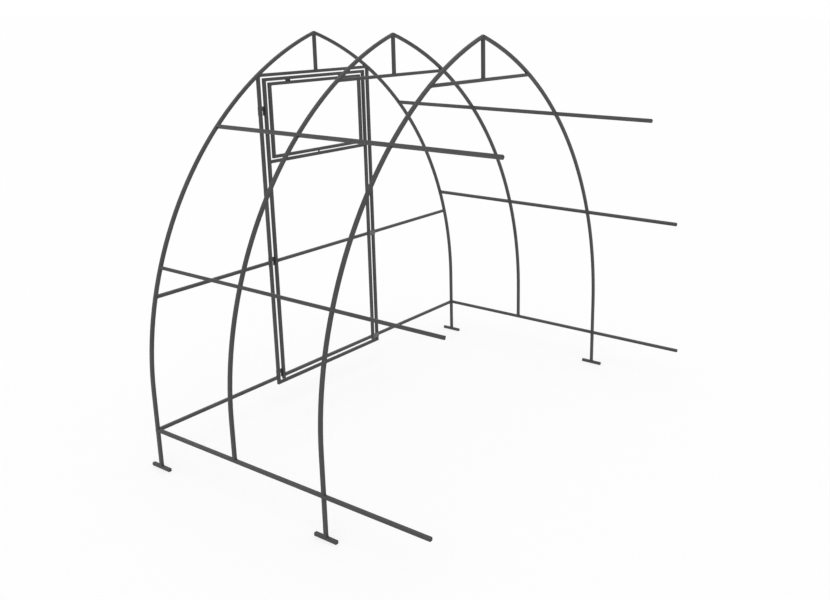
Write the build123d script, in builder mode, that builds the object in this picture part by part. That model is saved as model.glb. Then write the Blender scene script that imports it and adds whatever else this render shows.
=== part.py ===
from build123d import *
import os
from math import acos, asin, cos, degrees, sin, sqrt

# Frame of a small arched greenhouse, welded from square steel tube, without its sheets.
# Three pointed hoops stand on two base rails, with four purlins along them. The rails and
# purlins run on past the last hoop, where the next bay would be joined. The first hoop holds
# the end wall with its door, and a vent sash sits in the upper part of the door leaf.
# +X is to the right of someone who faces the door from outside, +Y runs from the door into
# the greenhouse, +Z is up. The floor is at z = 0, under the feet.

# Square tube
tube = 20.0
wall = 1.5

# Hoops: centre lines, with heights from the centre line of the base rails
span = 3000.0
leg_straight = 250.0
bend_radius = 2200.0
bay = 700.0
hoop_names = ["door", "middle", "rear"]

# Rails and purlins: how far their free ends run on past the bay after the last hoop
end_run = 22.0

# Feet
rail_height = 260.0
foot_length = 160.0

# Heights above the base rails
lower_purlin = 1005.0
upper_purlin = 1793.0
girt_height = 835.0

# Ties, from the ridge down
tie_drop = 256.0

# Doorway: its posts stand under the ends of the tie, and the hoop cuts this far into their tops
post_cut = 8.0
threshold_drop = 42.0

# Door leaf, in the plane of the end wall
leaf_side_gap = 28.0
leaf_top_gap = 10.0
leaf_foot_gap = 7.0

# Vent sash in the leaf, from centre line to centre line
sash_height = 476.0
sash_gap = 10.0
sash_side_gap = 24.0

# Door hinges: surface hinges with the knuckle in front of the gap beside the leaf
hinge_above_rail = 20.0
hinge_below_top = 200.0
hinge_length = 60.0
hinge_flap = 26.0
hinge_plate = 2.5
knuckle_radius = 6.0
pin_radius = 3.0
pin_clearance = 0.08
knuckle_gap = 0.5
flap_clearance = 1.0

# Stops behind the free stile of the leaf
stop_height = 40.0
stop_reach = 45.0
stop_plate = 3.0
stop_gap = 0.5

# Vent hinges and catch, on the outer face of the leaf
vent_hinge_width = 40.0
vent_hinge_spacing = 500.0
vent_plate = 2.0
vent_knuckle_radius = 4.0
catch_width = 14.0

# Places worked out from the sizes above
half = tube / 2
bore = tube - 2 * wall
half_span = span / 2
bays = len(hoop_names)
y_front = -(bays * bay + end_run - foot_length / 2) / 2
y_end = y_front + bays * bay + end_run
bend_start = rail_height + leg_straight
bend_centre = half_span - bend_radius
ridge_turn = degrees(acos(-bend_centre / bend_radius))
ridge_z = bend_start + sqrt(bend_radius**2 - bend_centre**2)
inner_radius = bend_radius - half
tie_z = ridge_z - tie_drop
tie_end = bend_centre + sqrt(inner_radius**2 - (tie_z - half - bend_start) ** 2)
girt_z = rail_height + girt_height
post_x = tie_end + post_cut - half
threshold_z = rail_height - threshold_drop
leaf_x = post_x - tube - leaf_side_gap
leaf_top_z = tie_z - tube - leaf_top_gap
leaf_foot_z = threshold_z + half + leaf_foot_gap
sash_x = leaf_x - tube - sash_side_gap
sash_top_z = leaf_top_z - tube - sash_gap
sash_bottom_z = sash_top_z - sash_height
vent_rail_z = sash_bottom_z - tube - sash_gap
face_y = y_front - half
hinge_x = leaf_x + half + leaf_side_gap / 2
hinge_y = face_y - knuckle_radius
hinges_z = [rail_height + hinge_above_rail, girt_z, leaf_top_z - hinge_below_top]

# The bend is drawn this many degrees past the ridge and then cut off square with it
overrun = 2.0

os.makedirs("parts", exist_ok=True)


def save(piece, name):
    """Name a finished piece and write it."""
    piece.part.label = name
    export_step(piece.part, f"parts/{name}.step")


def upright(y):
    """Plane of the hoop at y, seen from the door end: local x is X, local y is Z."""
    return Plane(origin=(0, y, 0), x_dir=(1, 0, 0), z_dir=(0, -1, 0))


def tube_section(plane):
    """Section of the tube, drawn around the plane's origin."""
    with BuildSketch(plane) as section:
        Rectangle(tube, tube)
        Rectangle(bore, bore, mode=Mode.SUBTRACT)
    return section.sketch


def across(x, y, z):
    """Plane for a tube that runs towards +X."""
    return Plane(origin=(x, y, z), x_dir=(0, 1, 0), z_dir=(1, 0, 0))


def along(x, y, z, outward=(1, 0, 0)):
    """Plane for a tube that runs towards +Y, turned so that one face looks outward."""
    return Plane(origin=(x, y, z), x_dir=outward, z_dir=(0, 1, 0))


def upwards(x, y, z):
    """Plane for a tube that runs up."""
    return Plane(origin=(x, y, z), x_dir=(1, 0, 0), z_dir=(0, 0, 1))


def hoop_band(side, y, width):
    """One half of a hoop as a flat band: the straight leg, then the bend up past the ridge."""
    with BuildSketch(upright(y)) as band:
        with BuildLine():
            Line((side * half_span, rail_height + half), (side * half_span, bend_start))
            CenterArc(
                (side * bend_centre, bend_start),
                bend_radius,
                0 if side > 0 else 180,
                side * (ridge_turn + overrun),
            )
        trace(line_width=width)
    return band.sketch


def room_under_hoop(y):
    """The space inside a hoop, as deep as a tube. What stands in it is cut to the hoop."""
    inner_x = half_span - half
    turn = degrees(acos(-bend_centre / inner_radius))
    floor_z = threshold_z - tube
    with BuildPart() as room:
        with BuildSketch(upright(y)):
            with BuildLine():
                CenterArc((bend_centre, bend_start), inner_radius, 0, turn)
                CenterArc((-bend_centre, bend_start), inner_radius, 180, -turn)
                Polyline(
                    (-inner_x, bend_start),
                    (-inner_x, floor_z),
                    (inner_x, floor_z),
                    (inner_x, bend_start),
                )
            make_face()
        extrude(amount=half, both=True)
    return room.part


def mitre(x, z, side_x, side_z):
    """Cutting plane at 45 degrees through a corner at x, z. Its normal points to what stays."""
    return Plane(origin=(x, y_front, z), z_dir=(side_x, 0, side_z))


hoops_y = [y_front + bay * i for i in range(bays)]
sides = {"left": -1, "right": 1}

# Hoop halves, mitred against each other at the ridge
for name, y in zip(hoop_names, hoops_y):
    for word, side in sides.items():
        with BuildPart() as hoop_half:
            extrude(hoop_band(side, y, tube), amount=half, both=True)
            extrude(hoop_band(side, y, bore), amount=bore / 2, both=True, mode=Mode.SUBTRACT)
            split(bisect_by=Plane.YZ, keep=Keep.TOP if side > 0 else Keep.BOTTOM)
        save(hoop_half, f"{name}_hoop_{word}")

# Tie across each hoop, and the king post from the tie to the ridge
for name, y in zip(hoop_names, hoops_y):
    with BuildPart() as tie:
        extrude(tube_section(across(-half_span / 2, y, tie_z)), amount=half_span)
        add(room_under_hoop(y), mode=Mode.INTERSECT)
    save(tie, f"{name}_tie")
    with BuildPart() as king_post:
        extrude(tube_section(upwards(0, y, tie_z + half)), amount=half_span)
        add(room_under_hoop(y), mode=Mode.INTERSECT)
    save(king_post, f"{name}_king_post")

# Base rails, one piece from the door end to their free end
for word, side in sides.items():
    with BuildPart() as base_rail:
        extrude(tube_section(along(side * half_span, face_y, rail_height)), amount=y_end - face_y)
    save(base_rail, f"base_rail_{word}")

# Purlins in lengths between the hoops, turned flush with the bend
for level, height in {"lower": lower_purlin, "upper": upper_purlin}.items():
    turn = asin((height - leg_straight) / bend_radius)
    purlin_x = bend_centre + bend_radius * cos(turn)
    for word, side in sides.items():
        with BuildPart() as purlin:
            for i in range(bays):
                start = hoops_y[i] + half
                stop = hoops_y[i + 1] - half if i + 1 < bays else y_end
                outward = (side * cos(turn), 0, sin(turn))
                place = along(side * purlin_x, start, rail_height + height, outward)
                extrude(tube_section(place), amount=stop - start)
        save(purlin, f"{level}_purlin_{word}")

# T-shaped feet under the first and the last hoop: a stem below each rail, on a bar on the floor
for name, y in {"front": hoops_y[0], "rear": hoops_y[-1]}.items():
    with BuildPart() as foot_stems:
        for side in sides.values():
            stem_start = upwards(side * half_span, y, tube)
            extrude(tube_section(stem_start), amount=rail_height - half - tube)
    save(foot_stems, f"foot_stems_{name}")
    with BuildPart() as foot_bars:
        for side in sides.values():
            bar_start = along(side * half_span, y - foot_length / 2, half)
            extrude(tube_section(bar_start), amount=foot_length)
    save(foot_bars, f"foot_bars_{name}")

# End wall beside the door: sill at the base rail and girt above it
for word, side in sides.items():
    edge = post_x + half
    reach = half_span - edge
    left_end = edge if side > 0 else -half_span
    for name, z in {"end_sill": rail_height, "end_girt": girt_z}.items():
        with BuildPart() as cross_piece:
            extrude(tube_section(across(left_end, y_front, z)), amount=reach)
            add(room_under_hoop(y_front), mode=Mode.INTERSECT)
        save(cross_piece, f"{name}_{word}")

# Doorway: posts under the tie, mitred to the threshold
for word, side in sides.items():
    with BuildPart() as post:
        foot_z = threshold_z - half
        extrude(tube_section(upwards(side * post_x, y_front, foot_z)), amount=tie_z - half - foot_z)
        add(room_under_hoop(y_front), mode=Mode.INTERSECT)
        split(bisect_by=mitre(side * post_x, threshold_z, side, 1), keep=Keep.TOP)
    save(post, f"door_post_{word}")

with BuildPart() as threshold:
    outer = post_x + half
    extrude(tube_section(across(-outer, y_front, threshold_z)), amount=2 * outer)
    for side in sides.values():
        split(bisect_by=mitre(side * post_x, threshold_z, -side, -1), keep=Keep.TOP)
save(threshold, "door_threshold")

# Door leaf: stiles mitred to the top rail, with three rails between them
for word, side in sides.items():
    with BuildPart() as stile:
        place = upwards(side * leaf_x, y_front, leaf_foot_z)
        extrude(tube_section(place), amount=leaf_top_z + half - leaf_foot_z)
        split(bisect_by=mitre(side * leaf_x, leaf_top_z, side, -1), keep=Keep.TOP)
    save(stile, f"leaf_stile_{word}")

with BuildPart() as leaf_top:
    outer = leaf_x + half
    extrude(tube_section(across(-outer, y_front, leaf_top_z)), amount=2 * outer)
    for side in sides.values():
        split(bisect_by=mitre(side * leaf_x, leaf_top_z, -side, 1), keep=Keep.TOP)
save(leaf_top, "leaf_top_rail")

leaf_rails = {"bottom": rail_height, "lock": girt_z, "vent": vent_rail_z}
for name, z in leaf_rails.items():
    with BuildPart() as rail:
        inner = leaf_x - half
        extrude(tube_section(across(-inner, y_front, z)), amount=2 * inner)
    save(rail, f"leaf_{name}_rail")

# Vent sash: a frame mitred at its four corners
for word, side in sides.items():
    with BuildPart() as sash_stile:
        place = upwards(side * sash_x, y_front, sash_bottom_z - half)
        extrude(tube_section(place), amount=sash_top_z - sash_bottom_z + tube)
        split(bisect_by=mitre(side * sash_x, sash_top_z, side, -1), keep=Keep.TOP)
        split(bisect_by=mitre(side * sash_x, sash_bottom_z, side, 1), keep=Keep.TOP)
    save(sash_stile, f"sash_stile_{word}")

for name, z, up in [("top", sash_top_z, 1), ("bottom", sash_bottom_z, -1)]:
    with BuildPart() as sash_rail:
        outer = sash_x + half
        extrude(tube_section(across(-outer, y_front, z)), amount=2 * outer)
        for side in sides.values():
            split(bisect_by=mitre(side * sash_x, z, -side, up), keep=Keep.TOP)
    save(sash_rail, f"sash_{name}_rail")


def hinge_half(z, side, lowest, highest):
    """Profile of a hinge flap: a plate beside the knuckle, with a tongue to it."""
    near = knuckle_radius + flap_clearance
    with BuildSketch(Plane(origin=(hinge_x, face_y, z), x_dir=(1, 0, 0), z_dir=(0, -1, 0))) as flap:
        with Locations((side * (near + hinge_flap / 2), 0)):
            Rectangle(hinge_flap, hinge_length)
        with Locations((side * near / 2, (lowest + highest) / 2)):
            Rectangle(near, highest - lowest)
    return flap.sketch


# Post side of the door hinges: flap, lower knuckle and the pin standing in it
with BuildPart() as hinge_pins:
    for z in hinges_z:
        top = -knuckle_gap / 2
        extrude(hinge_half(z, 1, -hinge_length / 2, top), amount=hinge_plate)
        with BuildSketch(Plane.XY.offset(z - hinge_length / 2)):
            with Locations((hinge_x, hinge_y)):
                Circle(knuckle_radius)
        extrude(amount=hinge_length / 2 + top)
        with BuildSketch(Plane.XY.offset(z + top)):
            with Locations((hinge_x, hinge_y)):
                Circle(pin_radius)
        extrude(amount=hinge_length / 2 - top)
save(hinge_pins, "door_hinge_pins")

# Leaf side of the door hinges: flap and the upper knuckle that turns on the pin
with BuildPart() as hinge_knuckles:
    for z in hinges_z:
        low = knuckle_gap / 2
        extrude(hinge_half(z, -1, low, hinge_length / 2), amount=hinge_plate)
        with BuildSketch(Plane.XY.offset(z + low)):
            with Locations((hinge_x, hinge_y)):
                Circle(knuckle_radius)
        extrude(amount=hinge_length / 2 - low)
        with BuildSketch(Plane.XY.offset(z + low)):
            with Locations((hinge_x, hinge_y)):
                Circle(pin_radius + pin_clearance)
        extrude(amount=hinge_length / 2 - low, mode=Mode.SUBTRACT)
save(hinge_knuckles, "door_hinge_knuckles")

# Stops: plates on the free side's post that reach behind the stile
with BuildPart() as stops:
    back_y = y_front + half
    thickness = stop_plate + stop_gap
    for z in (rail_height, girt_z):
        with BuildSketch(Plane.XY.offset(z - stop_height / 2)):
            with Locations((-post_x, back_y + thickness / 2)):
                Rectangle(tube, thickness)
            with Locations((-post_x + half + stop_reach / 2, back_y + stop_gap + stop_plate / 2)):
                Rectangle(stop_reach, stop_plate)
        extrude(amount=stop_height)
save(stops, "door_stops")

# Vent hinges: a closed plate over the gap above the sash, with its knuckle
with BuildPart() as vent_hinges:
    middle_z = (leaf_top_z + sash_top_z) / 2
    for side in sides.values():
        x = side * vent_hinge_spacing / 2
        with BuildSketch(Plane(origin=(x, face_y, middle_z), x_dir=(1, 0, 0), z_dir=(0, -1, 0))):
            Rectangle(vent_hinge_width, tube + sash_gap + half)
        extrude(amount=vent_plate)
        start = across(x - vent_hinge_width / 2, face_y - vent_knuckle_radius, middle_z)
        with BuildSketch(start):
            Circle(vent_knuckle_radius)
        extrude(amount=vent_hinge_width)
save(vent_hinges, "vent_hinges")

# Vent catch: a turned button over the gap below the sash
with BuildPart() as vent_catch:
    middle_z = (vent_rail_z + sash_bottom_z) / 2
    with BuildSketch(Plane(origin=(0, face_y, middle_z), x_dir=(1, 0, 0), z_dir=(0, -1, 0))):
        SlotOverall(tube + sash_gap + half, catch_width, rotation=90)
    extrude(amount=vent_plate)
save(vent_catch, "vent_catch")
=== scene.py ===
import random
from math import cos, pi, radians, sin

import bmesh
import bpy
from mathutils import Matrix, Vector


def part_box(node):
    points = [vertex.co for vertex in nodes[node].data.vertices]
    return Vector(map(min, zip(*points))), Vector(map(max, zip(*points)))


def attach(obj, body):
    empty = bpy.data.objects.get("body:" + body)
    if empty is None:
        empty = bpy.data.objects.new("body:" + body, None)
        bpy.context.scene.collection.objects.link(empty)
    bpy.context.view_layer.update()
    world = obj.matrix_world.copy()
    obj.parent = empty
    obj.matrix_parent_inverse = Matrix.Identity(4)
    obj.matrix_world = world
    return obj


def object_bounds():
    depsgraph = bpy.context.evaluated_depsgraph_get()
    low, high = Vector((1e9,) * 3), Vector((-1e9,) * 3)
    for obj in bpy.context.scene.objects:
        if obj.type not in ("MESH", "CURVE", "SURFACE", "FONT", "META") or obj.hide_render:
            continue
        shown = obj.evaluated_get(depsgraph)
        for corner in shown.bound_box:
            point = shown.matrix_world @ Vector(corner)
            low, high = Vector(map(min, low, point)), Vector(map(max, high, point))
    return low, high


# Looks of the bare greenhouse frame: painted square tube, weld beads, rivets and end plugs,
# on a white floor. Lengths are in metres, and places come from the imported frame.
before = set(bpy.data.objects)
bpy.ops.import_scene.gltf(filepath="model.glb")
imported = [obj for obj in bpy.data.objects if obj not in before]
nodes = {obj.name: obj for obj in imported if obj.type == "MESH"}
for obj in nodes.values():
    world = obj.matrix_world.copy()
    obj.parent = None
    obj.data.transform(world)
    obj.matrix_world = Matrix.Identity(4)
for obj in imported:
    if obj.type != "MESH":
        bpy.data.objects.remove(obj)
cad_low, cad_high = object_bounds()
random.seed(11)

# Axes and directions
X, Y, Z = range(3)
front = (0, -1, 0)
back = (0, 1, 0)
down = (0, 0, -1)

# Frame: the tube, the front of the end wall, and the hoops from the door on
rail_low, rail_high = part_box("base_rail_right")
tube = rail_high.x - rail_low.x
half = tube / 2
wall = 0.0015
half_bore = half - wall
face_y = rail_low.y
floor_z = 0.0
hoop_names = ["door", "middle", "rear"]
side_signs = {"left": -1, "right": 1}
fitting_nodes = {"door_hinge_pins", "door_hinge_knuckles", "door_stops", "vent_hinges", "vent_catch"}

# Signs of a square's corners, in order around it
square = ((1, 1), (-1, 1), (-1, -1), (1, -1))

# Rounding: the long corners of the tube, and the edges of the fittings
corner_radius = 0.0018
corner_segments = 3
corner_angle = radians(60)
edge_radius = 0.0004
edge_segments = 2
edge_angle = radians(35)
join_distance = 0.00001
flat_angle = radians(0.5)

# Rays that tell the bore: they start just off a face and end before the tube's far side
ray_clearance = 0.0001
ray_length = tube - wall

# Corner points of a tube's end: least reach, squared, as a share of the farthest point's, and least
# cosine of the angle to the corner's direction
corner_reach = 0.9
corner_cosine = 0.9

# Weld beads: half their width, the spacing and depth of their ripples, and how far they wander
bead_radius = 0.0021
bead_step = 0.0016
bead_ripple = 0.0048
bead_ripple_depth = 0.13
bead_wander = 0.00025
bead_sides = 8
bead_end = 0.0012
bead_end_share = 0.45
least_offset = 1e-6

# How far in from its corner an arc's middle lies, as a share of its radius along both sides
arc_share = 0.293

# Beads are ground flush on sides within this cosine of the named directions
ground_flush = 0.7

# Upward part of the direction in which a purlin's bead is ground flush
purlin_rise = {"lower": 0.25, "upper": 1.0}

# Solids of one node are apart by more than this
solids_apart = 5 * tube

# Rivets of the hinges, stops and vent hinges, and the screw of the catch
rivet_radius = 0.0040
small_rivet_radius = 0.0028
rivet_turns = 24
hinge_rivets = (-0.020, 0.0, 0.020)
hinge_plate = 0.0025
stop_rivets = (-0.012, 0.012)
vent_rivets = (-0.013, 0.013)
vent_plate = 0.0020
catch_screw_radius = 0.0045

# Profiles from the rim to the middle: distance from the axis and height, as shares of the radius
rivet_profile = [
    (1.00, -0.05), (1.00, 0.06), (0.93, 0.16), (0.75, 0.25), (0.50, 0.30), (0.38, 0.31),
    (0.33, 0.28), (0.33, 0.10), (0.27, 0.08), (0.25, 0.17), (0.18, 0.20), (0.0, 0.20),
]
screw_profile = [
    (1.00, -0.05), (1.00, 0.10), (0.92, 0.28), (0.74, 0.42), (0.56, 0.48), (0.46, 0.50),
    (0.43, 0.46), (0.43, 0.12), (0.0, 0.08),
]
hexagon_from = 6

# Plugs in open tube ends: distance from the end and size as a share of the bore
plug_profile = [
    (0.0120, 0.95), (0.0016, 0.99), (0.0010, 0.97), (0.0007, 0.90), (0.0010, 0.78), (0.0012, 0.70),
]
plug_corner = 0.18
plug_corner_points = 4

# Camera of the drawing, with its focal length and principal point in pixels
picture_width, picture_height = 830, 600
focal_length_px = 903.88
principal_px = (500.84, 251.40)
camera_place = (4.5400, 3.5419, 2.7762)
camera_turn = 123.765
camera_dip = 15.255
sensor_width = 36.0

# Studio
floor_size = 400.0
key_strength = 0.5
key_spread = radians(50)
key_from = (0.55, 0.35, 1.0)
sky_strength = 0.92
floor_share = 0.35
floor_grey = 0.93
floor_roughness = 0.9

# Colours, linear
paint_colour = (0.051, 0.051, 0.053)
paint_light = (0.059, 0.059, 0.061)
weld_colour = (0.046, 0.046, 0.048)
worn_colour = (0.16, 0.16, 0.165)
dust_colour = (0.30, 0.29, 0.27)
fitting_colour = (0.085, 0.085, 0.087)
fitting_light = (0.110, 0.110, 0.112)
zinc_colour = (0.42, 0.42, 0.43)
plug_colour = (0.012, 0.012, 0.013)
white = (1.0, 1.0, 1.0, 1.0)

# Finishes: the noise that patches and roughness use, the cosine between a face and its rounded edge
# from flat to most rubbed, and the upward part of a face's direction from no dust to most dust
patch_noise = {"low": 0.35, "high": 0.65}
rough_noise = {"low": 0.3, "high": 0.7}
edge_cosine = {"low": 0.99, "high": 0.80}
dust_rise = {"low": 0.55, "high": 0.98}
edge_samples = 4
coat_specular = 0.25
screw_metal = 0.8
zinc_metal = 0.85


def opaque(colour):
    """A colour with full alpha."""
    return (*colour, 1.0)


def centre(node):
    """Middle of a CAD node's box."""
    low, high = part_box(node)
    return (low + high) / 2


def put_in_scene(name, data):
    """A new object with that data."""
    made = bpy.data.objects.new(name, data)
    bpy.context.scene.collection.objects.link(made)
    return made


class NodeTree:
    """A tree of nodes, with short ways to add and link them."""

    def __init__(self, tree):
        self.tree = tree

    def link(self, start, end):
        self.tree.links.new(start, end)

    def add(self, kind, inputs=(), **settings):
        """The outputs of a new node. inputs pairs its inputs with the socket or value for each."""
        node = self.tree.nodes.new(kind)
        for name, value in settings.items():
            setattr(node, name, value)
        for place, value in dict(inputs).items():
            if isinstance(value, bpy.types.NodeSocket):
                self.link(value, node.inputs[place])
            else:
                node.inputs[place].default_value = value
        return node.outputs


# Materials

class Shader(NodeTree):
    """The nodes of one material, with what the finishes share."""

    def __init__(self, name):
        self.material = bpy.data.materials.new(name)
        self.material.use_nodes = True
        super().__init__(self.material.node_tree)
        self.surface = self.tree.nodes["Principled BSDF"].inputs
        self.place = self.add("ShaderNodeTexCoord")["Object"]

    def noise(self, scale, detail=3.0, roughness=0.5):
        """Noise with features about 1/scale metres wide."""
        inputs = {"Vector": self.place, "Scale": scale, "Detail": detail, "Roughness": roughness}
        return self.add("ShaderNodeTexNoise", inputs)["Fac"]

    def spread(self, value, low, high, to_low=0.0, to_high=1.0):
        """Value from low..high to to_low..to_high, clamped."""
        inputs = {"Value": value, "From Min": low, "From Max": high, "To Min": to_low, "To Max": to_high}
        return self.add("ShaderNodeMapRange", inputs)["Result"]

    def times(self, first, second):
        return self.add("ShaderNodeMath", {0: first, 1: second}, operation="MULTIPLY")["Value"]

    def mix(self, share, first, second):
        """Colour between first and second, each a colour or a socket."""
        node = self.tree.nodes.new("ShaderNodeMix")
        node.data_type = "RGBA"
        self.link(share, node.inputs["Factor"])
        ends = {end.name: end for end in node.inputs if end.type == "RGBA"}
        for name, colour in (("A", first), ("B", second)):
            if isinstance(colour, tuple):
                ends[name].default_value = opaque(colour)
            else:
                self.link(colour, ends[name])
        return [end for end in node.outputs if end.type == "RGBA"][0]

    def edges(self, radius):
        """0 on flat faces, towards 1 within radius of a sharp edge."""
        rounded = self.add("ShaderNodeBevel", {"Radius": radius}, samples=edge_samples)["Normal"]
        flat = self.add("ShaderNodeNewGeometry")["Normal"]
        cosine = self.add("ShaderNodeVectorMath", {0: rounded, 1: flat}, operation="DOT_PRODUCT")["Value"]
        return self.spread(cosine, **edge_cosine)

    def upward(self):
        """1 on faces that look up, 0 on walls."""
        normal = self.add("ShaderNodeNewGeometry")["Normal"]
        return self.spread(self.add("ShaderNodeSeparateXYZ", {"Vector": normal})["Z"], **dust_rise)

    def patches(self, first, second, scale):
        """Two colours in soft patches about 1/scale metres wide."""
        return self.mix(self.spread(self.noise(scale), **patch_noise), first, second)

    def set_roughness(self, smoothest, roughest, scale, detail=3.0):
        """Roughness that varies over about 1/scale metres."""
        rough = self.spread(self.noise(scale, detail), **rough_noise, to_low=smoothest, to_high=roughest)
        self.link(rough, self.surface["Roughness"])

    def relief(self, depth, scale, detail=3.0, below=None):
        """Bumps about 1/scale metres wide, on top of another relief."""
        inputs = {"Height": self.noise(scale, detail), "Distance": depth}
        if below is not None:
            inputs["Normal"] = below
        return self.add("ShaderNodeBump", inputs)["Normal"]


def powder_coat(name, on_corners=False):
    """Dark grey powder coat: orange peel, slight patches, rubbed edges, a little dust on top.

    On the rounded corners of the tube it is scuffed in places."""
    shader = Shader(name)
    if on_corners:
        where = shader.spread(shader.noise(scale=9.0, detail=2.0), low=0.48, high=0.60)
        scuffs = shader.noise(scale=170.0, detail=5.0, roughness=0.65)
        rubs = shader.spread(scuffs, low=0.50, high=0.62, to_high=0.8)
    else:
        where = shader.edges(radius=0.0012)
        rubs = shader.spread(shader.noise(scale=60.0), low=0.50, high=0.68, to_high=0.55)
    base = shader.patches(paint_colour, paint_light, scale=5.0)
    worn = shader.mix(shader.times(where, rubs), base, worn_colour)
    dust = shader.spread(shader.noise(scale=22.0, detail=5.0), low=0.42, high=0.75, to_high=0.05)
    dusty = shader.times(shader.upward(), dust)
    shader.link(shader.mix(dusty, worn, dust_colour), shader.surface["Base Color"])
    shader.set_roughness(smoothest=0.42, roughest=0.56, scale=90.0, detail=4.0)
    scratches = shader.relief(depth=0.00006, scale=260.0, detail=2.0)
    orange_peel = shader.relief(depth=0.00008, scale=850.0, detail=1.0, below=scratches)
    shader.link(orange_peel, shader.surface["Normal"])
    shader.surface["Specular IOR Level"].default_value = coat_specular
    return shader.material


def weld_coat():
    """The same coat over a weld: rougher, with spatter."""
    shader = Shader("coated_weld")
    shader.link(shader.patches(weld_colour, paint_light, scale=140.0), shader.surface["Base Color"])
    shader.set_roughness(smoothest=0.45, roughest=0.65, scale=300.0)
    shader.link(shader.relief(depth=0.00015, scale=1100.0), shader.surface["Normal"])
    shader.surface["Specular IOR Level"].default_value = coat_specular
    return shader.material


def fitting_paint():
    """Paint over zinc on hinges, stops and the catch, rubbed through at the edges."""
    shader = Shader("fitting_paint")
    rubs = shader.spread(shader.noise(scale=180.0), low=0.42, high=0.62, to_high=0.8)
    rubbed = shader.times(shader.edges(radius=0.0010), rubs)
    base = shader.patches(fitting_colour, fitting_light, scale=35.0)
    shader.link(shader.mix(rubbed, base, zinc_colour), shader.surface["Base Color"])
    metal = shader.spread(rubbed, low=0.0, high=1.0, to_high=zinc_metal)
    shader.link(metal, shader.surface["Metallic"])
    shader.set_roughness(smoothest=0.34, roughest=0.50, scale=120.0, detail=4.0)
    shader.link(shader.relief(depth=0.00006, scale=900.0, detail=2.0), shader.surface["Normal"])
    return shader.material


def blackened_steel():
    """Blackened rivets and screws."""
    shader = Shader("blackened_screws")
    shader.link(shader.patches(weld_colour, worn_colour, scale=500.0), shader.surface["Base Color"])
    shader.surface["Metallic"].default_value = screw_metal
    shader.set_roughness(smoothest=0.28, roughest=0.45, scale=700.0)
    shader.link(shader.relief(depth=0.00002, scale=2500.0, detail=2.0), shader.surface["Normal"])
    return shader.material


def black_plastic():
    """Moulded end plugs."""
    shader = Shader("black_plastic")
    shader.link(shader.patches(plug_colour, weld_colour, scale=200.0), shader.surface["Base Color"])
    shader.set_roughness(smoothest=0.5, roughest=0.62, scale=400.0)
    shader.link(shader.relief(depth=0.00005, scale=1500.0, detail=1.0), shader.surface["Normal"])
    return shader.material


def seen_directly(tree):
    """1 where the camera, a reflection or a view through glass sees the surface."""
    path = tree.add("ShaderNodeLightPath")
    total = path["Is Camera Ray"]
    for name in ("Is Glossy Ray", "Is Transmission Ray"):
        total = tree.add("ShaderNodeMath", {0: total, 1: path[name]}, operation="MAXIMUM")["Value"]
    return total


def floor_finish():
    """White studio floor that keeps part of the object's shadow."""
    material = bpy.data.materials.new("studio_floor")
    material.use_nodes = True
    matt = material.node_tree.nodes["Principled BSDF"]
    matt.inputs["Base Color"].default_value = opaque((floor_grey, floor_grey, floor_grey))
    matt.inputs["Roughness"].default_value = floor_roughness
    matt.inputs["Specular IOR Level"].default_value = 0.0
    tree = NodeTree(material.node_tree)
    glow = tree.add("ShaderNodeEmission", {"Color": white})["Emission"]
    shares = {0: seen_directly(tree), 1: 1 - floor_share}
    white_share = tree.add("ShaderNodeMath", shares, operation="MULTIPLY")["Value"]
    ends = {"Fac": white_share, 1: matt.outputs["BSDF"], 2: glow}
    mixed = tree.add("ShaderNodeMixShader", ends)["Shader"]
    tree.link(mixed, material.node_tree.nodes["Material Output"].inputs["Surface"])
    return material


paint = powder_coat("dark_powder_coat")
corner_paint = powder_coat("scuffed_powder_coat", on_corners=True)
weld_paint = weld_coat()
fitting = fitting_paint()
steel = blackened_steel()
plastic = black_plastic()


# CAD nodes: finish by slot, and rounded corners

def mark_long_corners():
    """Nodes that mark the long outer corners of a tube, so that only they are rounded.

    A face of the bore sees its opposite, and an end's faces touch the bore's corners. The edges
    between the faces that are left are the long outer corners."""
    group = bpy.data.node_groups.new("long_corners", "GeometryNodeTree")
    for way in ("INPUT", "OUTPUT"):
        group.interface.new_socket("Geometry", in_out=way, socket_type="NodeSocketGeometry")
    tree = NodeTree(group)

    def logic(operation, *values):
        return tree.add("FunctionNodeBooleanMath", enumerate(values), operation=operation)["Boolean"]

    def on(domain, value):
        """A yes or no elsewhere: yes for any face of an edge or point, and for all points of a face."""
        return tree.add("GeometryNodeFieldOnDomain", {0: value}, domain=domain, data_type="BOOLEAN")[0]

    mesh = tree.add("NodeGroupInput")["Geometry"]
    normal = tree.add("GeometryNodeInputNormal")["Normal"]
    place = tree.add("GeometryNodeInputPosition")["Position"]
    shift = {0: normal, 1: (ray_clearance, ray_clearance, ray_clearance), 2: place}
    off_face = tree.add("ShaderNodeVectorMath", shift, operation="MULTIPLY_ADD")["Vector"]
    ray = {
        "Target Geometry": mesh,
        "Source Position": off_face,
        "Ray Direction": normal,
        "Ray Length": ray_length,
    }
    bore = on("FACE", tree.add("GeometryNodeRaycast", ray)["Is Hit"])
    off_bore = on("POINT", logic("NOT", bore))
    bore_or_end = on("FACE", logic("NOT", off_bore))
    angle = tree.add("GeometryNodeInputMeshEdgeAngle")["Unsigned Angle"]
    limits = {0: angle, 1: corner_angle}
    sharp = tree.add("FunctionNodeCompare", limits, data_type="FLOAT", operation="GREATER_THAN")["Result"]
    corner = logic("AND", sharp, logic("NOT", bore_or_end))
    weights = {"Geometry": mesh, "Name": "bevel_weight_edge", "Value": corner}
    marked = tree.add("GeometryNodeStoreNamedAttribute", weights, data_type="FLOAT", domain="EDGE")
    tree.add("NodeGroupOutput", {"Geometry": marked["Geometry"]})
    return group


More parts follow.
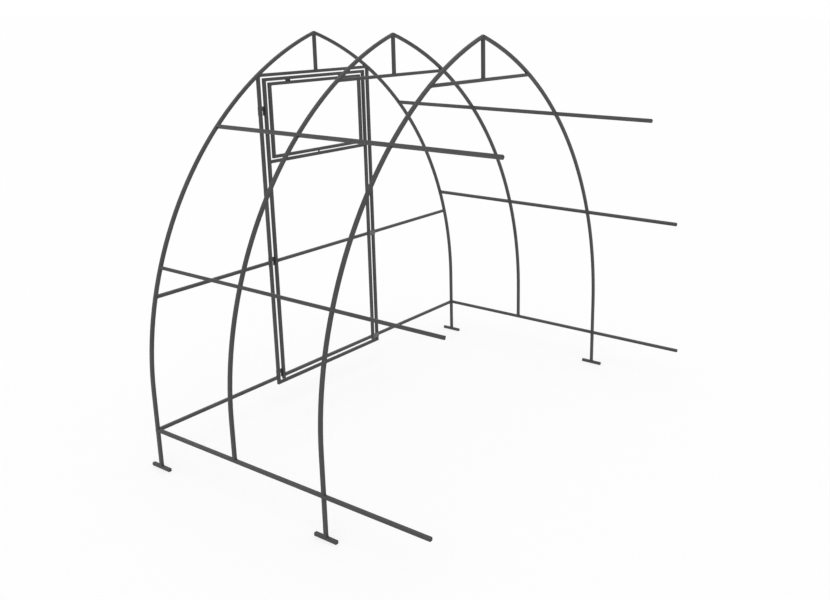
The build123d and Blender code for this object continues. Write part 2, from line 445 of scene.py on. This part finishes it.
def round_edges(node):
    """Round all the sharp edges of a fitting slightly."""
    rounded = node.modifiers.new("round_corners", "BEVEL")
    rounded.width = edge_radius
    rounded.segments = edge_segments
    rounded.limit_method = "ANGLE"
    rounded.angle_limit = edge_angle
    rounded.harden_normals = True


def round_corners(node):
    """Round the long corners of a tube, with a finish of their own.

    Its flat faces are made whole first, because rounding stops at any edge that it meets."""
    whole = node.modifiers.new("whole_faces", "DECIMATE")
    whole.decimate_type = "DISSOLVE"
    whole.angle_limit = flat_angle
    node.modifiers.new("mark_corners", "NODES").node_group = corner_marks
    node.data.materials.append(corner_paint)
    rounded = node.modifiers.new("round_corners", "BEVEL")
    rounded.width = corner_radius
    rounded.segments = corner_segments
    rounded.limit_method = "WEIGHT"
    rounded.use_clamp_overlap = False
    rounded.harden_normals = True
    rounded.material = len(node.data.materials) - 1


corner_marks = mark_long_corners()
for name, node in nodes.items():
    is_fitting = name in fitting_nodes
    for place in node.material_slots:
        place.material = fitting if is_fitting else paint
    node.modifiers.new("join_corners", "WELD").merge_threshold = join_distance
    if is_fitting:
        round_edges(node)
    else:
        round_corners(node)


# Pieces

def finish_piece(mesh_data, name, material, body):
    """Turn a bmesh into a piece with its finish, on its body."""
    mesh = bpy.data.meshes.new(name)
    bmesh.ops.recalc_face_normals(mesh_data, faces=mesh_data.faces)
    mesh_data.to_mesh(mesh)
    mesh_data.free()
    for face in mesh.polygons:
        face.use_smooth = True
    mesh.materials.append(material)
    piece = put_in_scene(name, mesh)
    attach(piece, body)


def join_rings(mesh_data, first, second):
    """A band of faces between two rings of as many points."""
    count = len(first)
    for k in range(count):
        n = (k + 1) % count
        mesh_data.faces.new((first[k], first[n], second[n], second[k]))


def tube_corners(node, axis, sign, mine=None):
    """The four outer corners at one end of a straight tube, in order around it.

    mine tells a length's vertices from the others', for a node that holds several lengths."""
    points = [v.co.copy() for v in nodes[node].data.vertices if mine is None or mine(v.co)]
    u, v = [i for i in range(3) if i != axis]
    middle_u = (min(p[u] for p in points) + max(p[u] for p in points)) / 2
    middle_v = (min(p[v] for p in points) + max(p[v] for p in points)) / 2

    def spoke(point):
        return Vector((point[u] - middle_u, point[v] - middle_v))

    farthest = max(spoke(p).length_squared for p in points)
    outer = [p for p in points if spoke(p).length_squared > corner_reach * farthest]
    first = spoke(outer[0]).normalized()
    second = Vector((-first.y, first.x))
    corners = []
    for way in (first, second, -first, -second):
        edge = [p for p in outer if spoke(p).normalized() @ way > corner_cosine]
        corners.append(max(edge, key=lambda p: p[axis] * sign))
    return corners


# Weld beads

def runs_left(corners, ground):
    """The ring's sides in runs, without the sides that are ground flush. True if it closes."""
    middle = sum(corners, Vector()) / len(corners)
    count = len(corners)
    keep = []
    for i in range(count):
        outward = ((corners[i] + corners[(i + 1) % count]) / 2 - middle).normalized()
        keep.append(all(outward @ Vector(way) < ground_flush for way in ground))
    if all(keep):
        return [(corners, True)]
    runs = []
    for i in range(count):
        if keep[i] and not keep[i - 1]:
            run = [corners[i]]
            j = i
            while keep[j % count]:
                run.append(corners[(j + 1) % count])
                j += 1
            runs.append((run, False))
    return runs


def follow_rounding(points, closed):
    """The path with its corners cut as the tube's are rounded, and an open path's ends drawn in."""
    path = []
    for i, point in enumerate(points):
        before = (points[i - 1] - point).normalized()
        after = (points[(i + 1) % len(points)] - point).normalized()
        if closed or 0 < i < len(points) - 1:
            path.append(point + before * corner_radius)
            path.append(point + (before + after) * corner_radius * arc_share)
            path.append(point + after * corner_radius)
        else:
            path.append(point + (before if i else after) * bead_end)
    return path


def walk(points, closed, step):
    """Points every step along a polyline, with the direction at each."""
    path = points + points[:1] if closed else points
    places = []
    for start, end in zip(path, path[1:]):
        length = (end - start).length
        count = max(2, round(length / step))
        for i in range(count):
            places.append((start.lerp(end, i / count), (end - start).normalized()))
    if not closed:
        places.append((path[-1], (path[-1] - path[-2]).normalized()))
    return places


def add_bead(mesh_data, points, closed):
    """A rippled weld bead along a path."""
    places = walk(follow_rounding(points, closed), closed, bead_step)
    middle = sum(points, Vector()) / len(points)
    rings = []
    travelled = 0.0
    last = places[0][0]
    for i, (place, direction) in enumerate(places):
        before = places[i - 1][1] if i or closed else direction
        heading = (direction + before).normalized()
        travelled += (place - last).length
        last = place
        outward = (place - middle) - heading * ((place - middle) @ heading)
        outward = outward.normalized() if outward.length > least_offset else heading.orthogonal()
        across = heading.cross(outward).normalized()
        radius = bead_radius * (1 + bead_ripple_depth * sin(2 * pi * travelled / bead_ripple))
        if not closed and i in (0, len(places) - 1):
            radius *= bead_end_share
        shift = outward * random.uniform(-bead_wander, bead_wander)
        ring = []
        for k in range(bead_sides):
            turn = 2 * pi * k / bead_sides
            offset = outward * cos(turn) * radius + across * sin(turn) * radius
            ring.append(mesh_data.verts.new(place + shift + offset))
        rings.append(ring)
    for first, second in zip(rings, rings[1:]):
        join_rings(mesh_data, first, second)
    if closed:
        join_rings(mesh_data, rings[-1], rings[0])
    else:
        mesh_data.faces.new(rings[0])
        mesh_data.faces.new(rings[-1])


def add_ring(mesh_data, corners, ground=()):
    """Beads around the end of a tube, without the sides that are ground flush."""
    for run, closed in runs_left(corners, ground):
        add_bead(mesh_data, run, closed)


def weld_hoop(mesh_data, name):
    """Beads of a hoop's legs, tie and king post, and of its mitre at the ridge."""
    is_door_hoop = name == "door"
    outer_face = [front] if is_door_hoop else []
    hoop_y = centre(f"{name}_tie").y
    for word, side in side_signs.items():
        leg_low, leg_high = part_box(f"{name}_hoop_{word}")
        leg_x = centre(f"base_rail_{word}").x
        foot = [Vector((leg_x + half * a, hoop_y + half * b, leg_low.z)) for a, b in square]
        add_ring(mesh_data, foot, [(side, 0, 0)] + outer_face)
        add_ring(mesh_data, tube_corners(f"{name}_tie", X, side), outer_face)
    post_low, post_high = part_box(f"{name}_king_post")
    add_ring(mesh_data, tube_corners(f"{name}_king_post", Z, -1), outer_face)
    shoulder = min(p.z for p in tube_corners(f"{name}_king_post", Z, 1))
    for y in [post_high.y] if is_door_hoop else [post_low.y, post_high.y]:
        ridge = Vector((0, y, post_high.z))
        peak = [Vector((post_low.x, y, shoulder)), ridge, Vector((post_high.x, y, shoulder))]
        add_bead(mesh_data, peak, False)
        add_bead(mesh_data, [ridge, Vector((0, y, leg_high.z - edge_radius))], False)


def weld_purlin(mesh_data, name, outward):
    """Beads at the ends of a purlin's lengths, but not at the free end."""
    for y, after in zip(hoops_y, hoops_y[1:] + [cad_high.y + tube]):
        ends = (-1,) if y == hoops_y[-1] else (-1, 1)
        for sign in ends:
            add_ring(mesh_data, tube_corners(name, Y, sign, lambda p: y < p.y < after), [outward])


def weld_end_wall(mesh_data, word, side):
    """Beads of one side's sill, girt and door post."""
    for name in (f"end_sill_{word}", f"end_girt_{word}"):
        for sign in (-1, 1):
            add_ring(mesh_data, tube_corners(name, X, sign), [front])
    add_ring(mesh_data, tube_corners(f"door_post_{word}", Z, 1), [front])
    mitred = tube_corners(f"door_post_{word}", Z, -1)
    add_ring(mesh_data, mitred, [front, Vector((side, 0, -1)).normalized()])


def weld_feet(mesh_data, side):
    """Beads at the top and bottom of one side's stems."""
    for end in ("front", "rear"):
        outer_face = [front] if end == "front" else []
        stem = f"foot_stems_{end}"
        top = tube_corners(stem, Z, 1, lambda p: p.x * side > 0)
        bottom = tube_corners(stem, Z, -1, lambda p: p.x * side > 0)
        add_ring(mesh_data, top, [(side, 0, 0)] + outer_face)
        add_ring(mesh_data, bottom, [(side, 0, 0)])


hoops_y = [centre(f"{name}_tie").y for name in hoop_names]
frame_welds = bmesh.new()
for name in hoop_names:
    weld_hoop(frame_welds, name)
for level, rise in purlin_rise.items():
    for word, side in side_signs.items():
        weld_purlin(frame_welds, f"{level}_purlin_{word}", Vector((side, 0, rise)).normalized())
for word, side in side_signs.items():
    weld_end_wall(frame_welds, word, side)
    weld_feet(frame_welds, side)
finish_piece(frame_welds, "frame_welds", weld_paint, "frame")

leaf_welds = bmesh.new()
sash_welds = bmesh.new()
for word, side in side_signs.items():
    for mesh_data, name, ends in ((leaf_welds, "leaf_stile", [1]), (sash_welds, "sash_stile", [1, -1])):
        for sign in ends:
            corner = Vector((side, 0, sign)).normalized()
            add_ring(mesh_data, tube_corners(f"{name}_{word}", Z, sign), [front, corner])
    for name in ("bottom", "lock", "vent"):
        add_ring(leaf_welds, tube_corners(f"leaf_{name}_rail", X, side), [front])
finish_piece(leaf_welds, "leaf_welds", weld_paint, "door")
finish_piece(sash_welds, "sash_welds", weld_paint, "door")


# Rivets and screws

def solid_middles(node, axis):
    """Middle of each separate solid of a node along an axis."""
    values = sorted(v.co[axis] for v in nodes[node].data.vertices)
    groups = [[values[0]]]
    for value in values[1:]:
        if value - groups[-1][-1] > solids_apart:
            groups.append([])
        groups[-1].append(value)
    return [(min(g) + max(g)) / 2 for g in groups]


def hexagon_share(turn):
    """Reach of a hexagon at an angle, as a share of its corner's."""
    sixth = pi / 3
    return cos(sixth / 2) / cos((turn % sixth) - sixth / 2)


def add_turned(mesh_data, place, outward, radius, profile, hexagon=None):
    """A turned head on a face. From point hexagon on, the profile is a hexagon."""
    across = Vector(outward).orthogonal().normalized()
    upward = Vector(outward).cross(across)
    rings = []
    for i, (reach, height) in enumerate(profile[:-1]):
        is_hexagon = hexagon is not None and i >= hexagon
        rise = Vector(outward) * height * radius
        ring = []
        for k in range(rivet_turns):
            turn = 2 * pi * k / rivet_turns
            out = reach * radius * (hexagon_share(turn) if is_hexagon else 1)
            spoke = across * cos(turn) + upward * sin(turn)
            ring.append(mesh_data.verts.new(Vector(place) + spoke * out + rise))
        rings.append(ring)
    middle = mesh_data.verts.new(Vector(place) + Vector(outward) * profile[-1][1] * radius)
    for first, second in zip(rings, rings[1:]):
        join_rings(mesh_data, first, second)
    for k in range(rivet_turns):
        mesh_data.faces.new((rings[-1][k], rings[-1][(k + 1) % rivet_turns], middle))
    mesh_data.faces.new(rings[0][::-1])


frame_rivets = bmesh.new()
leaf_rivets = bmesh.new()
post_x = centre("door_post_right").x
leaf_x = centre("leaf_stile_right").x
hinge_face = face_y - hinge_plate
vent_face = face_y - vent_plate
stop_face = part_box("door_stops")[1].y
for hinge_z in solid_middles("door_hinge_pins", Z):
    for rise in hinge_rivets:
        add_turned(frame_rivets, (post_x, hinge_face, hinge_z + rise), front, rivet_radius, rivet_profile)
        add_turned(leaf_rivets, (leaf_x, hinge_face, hinge_z + rise), front, rivet_radius, rivet_profile)
for stop_z in solid_middles("door_stops", Z):
    for rise in stop_rivets:
        add_turned(frame_rivets, (-post_x, stop_face, stop_z + rise), back, rivet_radius, rivet_profile)
for vent_x in solid_middles("vent_hinges", X):
    for step in vent_rivets:
        for name in ("leaf_top_rail", "sash_top_rail"):
            place = (vent_x + step, vent_face, centre(name).z)
            add_turned(leaf_rivets, place, front, small_rivet_radius, rivet_profile)
catch_place = (0, vent_face, centre("leaf_vent_rail").z)
add_turned(leaf_rivets, catch_place, front, catch_screw_radius, screw_profile, hexagon_from)
finish_piece(frame_rivets, "frame_rivets", steel, "frame")
finish_piece(leaf_rivets, "leaf_rivets", steel, "door")


# Plugs in the open ends of the feet, the rails and the purlins, and under the stiles of the leaf

def add_plug(mesh_data, corners, outward):
    """A moulded plug, set into the end of a tube with those corners."""
    outward = Vector(outward)
    place = sum(corners, Vector()) / len(corners)
    across = (corners[1] - corners[0]).normalized()
    upward = outward.cross(across)
    rings = []
    for depth, share in plug_profile:
        ring = []
        flat = half_bore * share * (1 - plug_corner)
        radius = half_bore * share * plug_corner
        for corner, (a, b) in enumerate(square):
            for k in range(plug_corner_points):
                turn = (corner + k / (plug_corner_points - 1)) * pi / 2
                u = a * flat + radius * cos(turn)
                v = b * flat + radius * sin(turn)
                ring.append(mesh_data.verts.new(place - outward * depth + across * u + upward * v))
        rings.append(ring)
    for first, second in zip(rings, rings[1:]):
        join_rings(mesh_data, first, second)
    mesh_data.faces.new(rings[0][::-1])
    mesh_data.faces.new(rings[-1])


frame_plugs = bmesh.new()
leaf_plugs = bmesh.new()
for word, side in side_signs.items():
    for name in ("foot_bars_front", "foot_bars_rear"):
        for sign in (-1, 1):
            add_plug(frame_plugs, tube_corners(name, Y, sign, lambda p: p.x * side > 0), (0, sign, 0))
    for sign in (-1, 1):
        add_plug(frame_plugs, tube_corners(f"base_rail_{word}", Y, sign), (0, sign, 0))
    for level in purlin_rise:
        last = tube_corners(f"{level}_purlin_{word}", Y, 1, lambda p: p.y > hoops_y[-1])
        add_plug(frame_plugs, last, back)
    add_plug(leaf_plugs, tube_corners(f"leaf_stile_{word}", Z, -1), down)
finish_piece(frame_plugs, "frame_plugs", plastic, "frame")
finish_piece(leaf_plugs, "leaf_plugs", plastic, "door")

# Camera
camera_data = bpy.data.cameras.new("camera")
camera_data.sensor_width = sensor_width
camera_data.lens = focal_length_px * sensor_width / picture_width
camera_data.shift_x = (picture_width / 2 - principal_px[0]) / picture_width
camera_data.shift_y = (principal_px[1] - picture_height / 2) / picture_width
camera = put_in_scene("camera", camera_data)
camera.location = camera_place
camera.rotation_euler = (radians(90 - camera_dip), 0, radians(camera_turn))
bpy.context.scene.camera = camera

# Floor
floor_mesh = bmesh.new()
bmesh.ops.create_grid(floor_mesh, x_segments=1, y_segments=1, size=floor_size / 2)
floor_data = bpy.data.meshes.new("floor")
floor_mesh.to_mesh(floor_data)
floor_mesh.free()
floor_data.materials.append(floor_finish())
floor = put_in_scene("floor", floor_data)
floor.location.z = floor_z

# Soft key light from above
key_data = bpy.data.lights.new("key", "SUN")
key_data.angle = key_spread
key_data.energy = key_strength
key = put_in_scene("key", key_data)
key.rotation_euler = Vector(key_from).to_track_quat("Z", "Y").to_euler()

# Sky: even light, and white where the camera sees it
world = bpy.data.worlds.new("studio")
world.use_nodes = True
bpy.context.scene.world = world
lit = world.node_tree.nodes["Background"]
lit.inputs["Color"].default_value = white
lit.inputs["Strength"].default_value = sky_strength
sky = NodeTree(world.node_tree)
shown = sky.add("ShaderNodeBackground", {"Color": white, "Strength": 1.0})["Background"]
ends = {"Fac": seen_directly(sky), 1: lit.outputs["Background"], 2: shown}
both = sky.add("ShaderNodeMixShader", ends)["Shader"]
sky.link(both, world.node_tree.nodes["World Output"].inputs["Surface"])

bpy.context.scene.view_settings.view_transform = "Standard"
